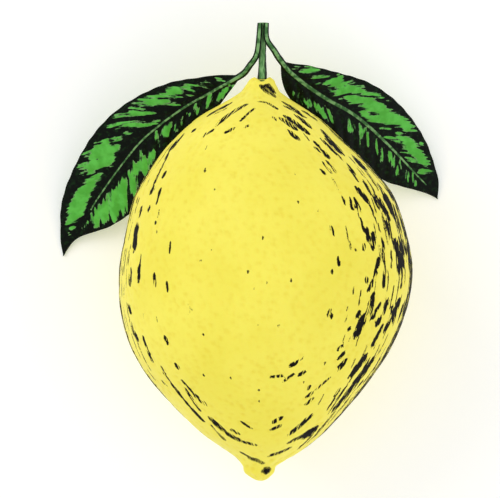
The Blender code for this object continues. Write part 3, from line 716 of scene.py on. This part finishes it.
def grow_leaf(side, length, petiole, halves, route, highlights, ribs):
    """A leaf's bmesh, and what its finish reads at each vertex, such as the depth in a stroke of painted
    highlight or a vein.
    """
    rail = leaf_rail(side, route)
    features = {"highlight": [], "rib": [], "vein": [], "under": [], "between": [], "out": []}
    spots = []

    @functools.cache
    def frame_at(share):
        distance = share * length
        blade = max(0.0, (distance - petiole) / (length - petiole))
        flatness = min(1.0, 6 * blade)
        behind = point_on(rail, max(0.0, distance - RAIL_SIGHT))
        forward = (point_on(rail, distance + RAIL_SIGHT) - behind).normalized()
        level = Vector((-forward.y, forward.x, 0)).normalized() * side
        square = forward.cross(level) * side
        bank = BLADE_BANK * (1 - blade) ** 2 * flatness
        outward = level * math.cos(bank) + square * math.sin(bank)
        upward = square * math.cos(bank) - level * math.sin(bank)
        return distance, blade, flatness, point_on(rail, distance), outward, upward

    def on_leaf(share, turn):
        distance, blade, flatness, centre, outward, upward = frame_at(share)
        across, rise = math.cos(turn), math.sin(turn)
        midrib = MIDRIB_DIAMETER / 2 * (1 - 0.75 * blade)
        swelling = min(1.0, distance / petiole)
        stem = (1 - swelling) * PETIOLE_TOP_DIAMETER / 2 + swelling * PETIOLE_DIAMETER / 2
        radius = (1 - flatness) * stem + flatness * midrib
        half = smooth_value(halves[0] if across > 0 else halves[1], blade) * MM
        teeth = 0.05 * MM * math.sin(distance / (0.6 * MM) + side) * ease(2 * MM, 5 * MM, half)
        reach = max(radius, half + teeth)
        offset = reach * math.copysign(abs(across) ** (1 + 0.8 * flatness), across)
        stem_body = radius * math.sqrt(max(0.0, 1 - (offset / radius) ** 2))
        if rise > 0:
            stem_body *= 1 - flatness
        blade_body = BLADE_THICKNESS / 2 * abs(rise) ** 0.5 * flatness
        body = math.copysign(max(stem_body, blade_body), rise)

        out = abs(offset)
        vein_start = (distance - VEIN_SLOPE * out) / VEIN_SPACING + 0.1 + (0.4 if offset < 0 else 0.0)
        off_vein = abs(vein_start - round(vein_start)) * VEIN_SPACING / VEIN_STRETCH
        spread = flatness * ease(0.3 * MM, 1.4 * MM, out) * ease(0, 1.6 * MM, reach - out)
        vein = math.exp(-((off_vein / (0.28 * MM)) ** 2)) * spread
        quilt = 0.14 * MM * ease(0, 1.2 * MM, off_vein) * spread - 0.1 * MM * vein
        ridge = 0.12 * MM * math.exp(-((out / (0.35 * MM)) ** 2)) * flatness if rise > 0 else 0.0
        wave = WAVE_HEIGHT * math.sin(distance / WAVE_LENGTH + 2 * side) * (out / reach) ** 2
        wave *= flatness * ease(0, 5 * MM, reach) * ease(0, 6 * MM, centre.z)
        crown = flatness * (0.1 * out - 16.0 * offset * offset)
        height = crown + body + quilt + ridge + wave

        edge = ease(0, DARK_EDGE, reach - out)
        rib_width = smooth_value(ribs, blade) * edge
        features["rib"].append((rib_width - out / MM) if rise > 0 and blade < ribs[-1][0] else -1.0)
        features["vein"].append(vein)
        features["under"].append(float(rise < -0.02) * flatness)
        features["between"].append(vein_start * VEIN_SPACING / VEIN_STRETCH)
        features["out"].append(offset * VEIN_STRETCH)
        spots.append(((distance - petiole) / MM, offset / MM))
        return off_the_rind(centre + outward * offset + upward * height, BLADE_THICKNESS)

    form = grown_rod(LEAF_AROUND, LEAF_ALONG, on_leaf)
    distances, offsets = numpy.array(spots).T
    highlight = numpy.full(len(spots), -1.0)
    for start_along, start_out, end_along, end_out, width in highlights:
        inside = inside_stroke(offsets, distances, (start_out, start_along), (end_out, end_along), width)
        highlight = numpy.maximum(highlight, inside)
    features["highlight"] = highlight
    return form, features


def leaf_finish(name):
    """The leaf's colours from its features, with near-black painted shade and light green painted highlights
    on its top, and the bump of its cells.
    """
    leaf = Finish(name)
    # Near-black painted shade: the top's colour wherever no highlight is painted.
    shade_patches = leaf.step(leaf.mottle(0.9 * MM), 0.5, 0.75)
    dark = leaf.blend(shade_patches, (0.002, 0.004, 0.002), (0.006, 0.026, 0.006))
    # Light green painted highlights between the veins, with a paler fringe that shares the midrib's own
    # colour.
    highlight_patches = leaf.step(leaf.mottle(2.2 * MM), 0.35, 0.65)
    bright = leaf.blend(highlight_patches, (0.085, 0.42, 0.05), (0.12, 0.54, 0.08))
    pale_patches = leaf.step(leaf.mottle(1.2 * MM), 0.42, 0.6)
    pale = leaf.blend(pale_patches, (0.05, 0.15, 0.045), (0.2, 0.4, 0.16))
    ragged = leaf.maths("MULTIPLY_ADD", leaf.mottle(0.6 * MM, 3.0, 0.6), 0.4, -0.2)
    along_veins = {0: leaf.feature("between"), 1: leaf.maths("MULTIPLY", leaf.feature("out"), 0.14)}
    along_veins = leaf.node("ShaderNodeCombineXYZ", None, along_veins).outputs[0]
    comb = leaf.maths("MULTIPLY_ADD", leaf.mottle(0.55 * MM, 2.0, 0.5, along_veins), 2.6, -1.25)
    highlight = leaf.maths("ADD", leaf.maths("ADD", leaf.feature("highlight"), ragged), comb)
    # The highlights are kept off the sunken veins, which stay in painted shade.
    highlight = leaf.maths("SUBTRACT", highlight, leaf.maths("MULTIPLY", leaf.feature("vein"), 0.25))
    bright = leaf.blend(leaf.step(highlight, 0.05, 0.3), pale, bright)
    top = leaf.blend(leaf.step(highlight, -0.06, 0.08), dark, bright)
    rib = leaf.maths("ADD", leaf.feature("rib"), leaf.maths("MULTIPLY", ragged, 0.3))
    top = leaf.blend(leaf.step(rib, -0.05, 0.08), top, pale)
    below = leaf.blend(leaf.step(leaf.mottle(1.5 * MM), 0.3, 0.7), (0.07, 0.2, 0.05), (0.1, 0.26, 0.07))
    below = leaf.blend(leaf.maths("MULTIPLY", leaf.feature("vein"), 0.7), below, (0.2, 0.36, 0.14))
    colour = leaf.blend(leaf.feature("under"), top, below)
    cells = leaf.bumps(leaf.mottle(0.35 * MM, 2.0), 0.05 * MM, 0.5)
    return leaf, colour, cells


left_form, left_features = grow_leaf(
    -1, LEFT_LEAF_LENGTH, LEFT_PETIOLE_LENGTH, LEFT_BLADE, LEFT_ROUTE, LEFT_HIGHLIGHTS, LEFT_RIB
)
leaf, leaf_colour, leaf_cells = leaf_finish("left_leaf_green")
leaf.apply(
    finished_piece("lemon_leaf_left", left_form, **left_features),
    "leaf_left",
    "leaf_green",
    Base_Color=leaf_colour,
    Roughness=0.42,
    Normal=leaf_cells,
    Specular_IOR_Level=0.08,
)


# ---- The right leaf ----------------------------------------------------------------------------------
# The other leaf of the pair, a little shorter, on its own petiole from the same knot. It is made and
# painted as the left one is, with the same painted shade and painted highlights, a midrib that stays broad
# for longer and one long painted highlight down its outer half.
RIGHT_LEAF_LENGTH = 64.4 * MM
RIGHT_PETIOLE_LENGTH = 9.4 * MM
RIGHT_RIB = [(0, 0.4), (0.1, 0.4), (0.45, 0.34), (0.75, 0.22), (0.92, 0.12)]
RIGHT_BLADE = (
    [(0, 0), (0.1, 3.4), (0.27, 6.4), (0.53, 8.1), (0.76, 6.8), (0.93, 3.1), (1, 0)],
    [(0, 0), (0.11, 3.8), (0.3, 6.8), (0.55, 8.1), (0.76, 6.3), (0.89, 2.8), (1, 0)],
)
RIGHT_ROUTE = [
    (-5.7, 2.6, 1.035),
    (-4.4, 3.45, 0.997),
    (-1.2, 6.25, 0.912),
    (3.5, 8.8, 0.73),
    (7.3, 10.0, 0.55),
    (12.5, 10.4, 0.345),
    (19.2, 10.4, 0.147),
    (25.4, 11.3, 0.011),
    (35.5, 13.0, 0),
]
RIGHT_HIGHLIGHTS = [
    (3.6, 1, 4.6, 1.8, 0.6), (5.1, 1.5, 8.6, 4, 1.1), (8.6, 2.2, 12.1, 4.2, 0.8),
    (10.1, 1.5, 11.1, 2.5, 0.5), (12.1, 2.5, 14.1, 5, 1.4), (13.1, 3.2, 17.1, 4.8, 1.9),
    (14.1, 5.5, 15.6, 5, 1.6), (16.6, 4.8, 19.1, 6, 0.8), (19.1, 3.8, 26.1, 6.8, 1.1),
    (13.6, 2, 16.1, 2.2, 0.45), (16.1, 2.2, 19.6, 4.5, 1.6), (18.6, 4.5, 22.6, 5.5, 1.8),
    (17.1, 4.8, 19.1, 4.8, 1.2), (17.6, 1.5, 19.6, 2.2, 0.5), (19.1, 2, 22.1, 3, 1),
    (20.1, 2.5, 25.6, 4, 2), (23.6, 3.5, 29.1, 4.8, 3), (24.6, 1.5, 29.1, 2, 1.5),
    (28.1, 4, 34.1, 5.2, 2.8), (28.1, 2.5, 32.6, 4, 1.8), (33.6, 5.2, 38.6, 6.5, 1.3),
    (35.6, 3, 40.6, 3.8, 1.5), (38.1, 3.2, 43.6, 3.2, 2.3), (41.1, 3.2, 45.6, 3.2, 2.2),
    (44.1, 3, 47.1, 3.2, 1.4), (33.6, 1, 37.6, 2.2, 0.8), (38.1, 2, 41.6, 2.8, 0.7),
    (39.6, 1, 42.6, 2.8, 0.6), (41.6, 1, 44.1, 2, 0.5), (31.1, 1.2, 33.1, 2.5, 0.6),
    (46.6, 1.2, 49.1, 3, 0.8), (47.1, 0.5, 48.6, 1, 0.45), (27.6, 6.5, 28.1, 7, 0.5),
    (41.6, 5.5, 42.1, 5.5, 0.5), (8.6, -2.2, 9.6, -3.8, 0.45), (7.6, -2.8, 8.1, -3.5, 0.35),
    (10.6, -3, 13.1, -3.2, 1), (11.6, -2.2, 13.1, -3, 0.8), (13.1, -2.2, 17.1, -3.5, 1.2),
    (15.6, -1.5, 15.6, -2.8, 0.7), (16.6, -1.5, 19.1, -3.8, 0.9), (22.6, -1, 25.1, -3.5, 0.8),
    (24.1, -2, 26.1, -3, 0.7), (26.1, -1, 30.1, -4.2, 0.8), (28.1, -1, 29.1, -3, 0.6),
    (29.6, -1.2, 31.6, -3.2, 0.6), (32.6, -0.8, 35.6, -3.8, 0.8), (35.1, -1.2, 37.6, -3.5, 0.65),
    (37.6, -1, 41.1, -2.5, 0.8), (41.1, -0.8, 43.1, -3.5, 1), (44.6, -0.8, 46.6, -2.5, 0.75),
    (45.6, -0.2, 47.1, -1.5, 0.45), (47.6, -1.2, 48.6, -2, 0.5), (22.1, 3.5, 28.1, 4.2, 2.6),
    (18.6, 2.2, 25.1, 5, 1.2), (30.6, 5.2, 37.6, 6, 2.4), (37.6, 3.8, 44.6, 3.2, 2.4),
    (28.1, 1.8, 35.6, 5.5, 1.2), (41.6, 3.2, 47.1, 3.8, 1.5), (12.6, 3, 15.1, 5.5, 1.3),
]

right_form, right_features = grow_leaf(
    1, RIGHT_LEAF_LENGTH, RIGHT_PETIOLE_LENGTH, RIGHT_BLADE, RIGHT_ROUTE, RIGHT_HIGHLIGHTS, RIGHT_RIB
)
leaf, leaf_colour, leaf_cells = leaf_finish("right_leaf_green")
leaf.apply(
    finished_piece("lemon_leaf_right", right_form, **right_features),
    "leaf_right",
    "leaf_green",
    Base_Color=leaf_colour,
    Roughness=0.42,
    Normal=leaf_cells,
    Specular_IOR_Level=0.08,
)
